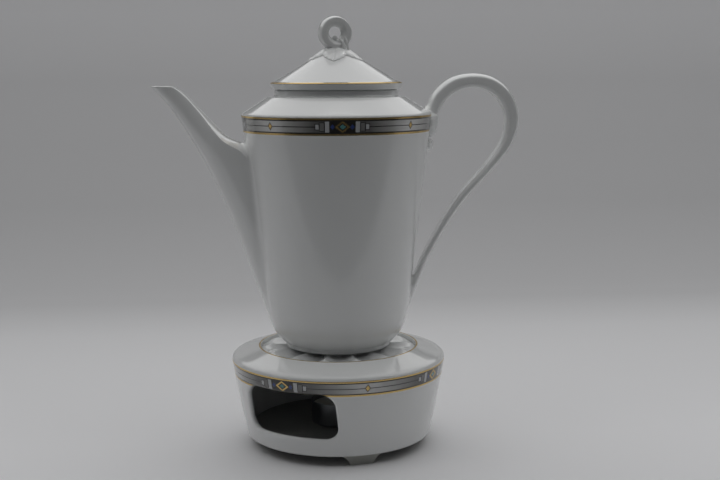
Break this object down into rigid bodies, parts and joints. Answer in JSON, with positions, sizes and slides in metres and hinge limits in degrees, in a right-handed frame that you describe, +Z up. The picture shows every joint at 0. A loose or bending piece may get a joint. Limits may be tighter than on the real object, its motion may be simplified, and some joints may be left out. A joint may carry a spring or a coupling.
{
  "type": "coffee pot with warmer",
  "caption": "Tapering porcelain coffee pot with ring-topped lid, long spout and ear handle, standing on a round tea-light warmer with a side window.",
  "frame": {"origin": "on the table, under the axis that the pot and the warmer share, at the middle of the part's footprint", "axes": "+Z up; the handle points along +X and the spout along -X"},
  "size_m": [0.2547, 0.15, 0.298],
  "materials": {
    "porcelain_glazed": "white glazed porcelain, high gloss, with gold lines and a grey band",
    "porcelain_biscuit": "unglazed porcelain, matt",
    "cup_metal": "thin drawn aluminium",
    "wax": "white paraffin wax",
    "cotton": "braided cotton wick"
  },
  "bodies": {
    "warmer": {"warmer_wall": "porcelain_glazed", "warmer_star": "porcelain_glazed", "warmer_floor": "porcelain_biscuit", "warmer_foot_1": "porcelain_biscuit", "warmer_foot_2": "porcelain_biscuit", "warmer_foot_3": "porcelain_biscuit"},
    "tealight": {"tealight_cup": "cup_metal", "tealight_wax": "wax", "wick_sustainer": "cup_metal", "wick": "cotton"},
    "pot": {"pot_body": "porcelain_glazed", "pot_spout": "porcelain_glazed", "pot_handle": "porcelain_glazed", "handle_leaf_upper": "porcelain_glazed", "handle_leaf_lower": "porcelain_glazed"},
    "lid": {"lid_body": "porcelain_glazed", "lid_ring": "porcelain_glazed", "lid_bud": "porcelain_glazed", "lid_leaf_1": "porcelain_glazed", "lid_leaf_2": "porcelain_glazed", "lid_leaf_3": "porcelain_glazed", "lid_leaf_4": "porcelain_glazed", "lid_leaf_5": "porcelain_glazed"}
  },
  "joints": [
    {"name": "pot_lift", "type": "slide", "parent": "warmer", "child": "pot", "axis": [0, 0, 1], "range_m": [0, 0.08]},
    {"name": "lid_lift", "type": "slide", "parent": "pot", "child": "lid", "axis": [0, 0, 1], "range_m": [0, 0.06]},
    {"name": "tealight_slide", "type": "slide", "parent": "warmer", "child": "tealight", "axis": [-0.5418, -0.8186, 0.1908], "range_m": [0, 0.12]}
  ]
}
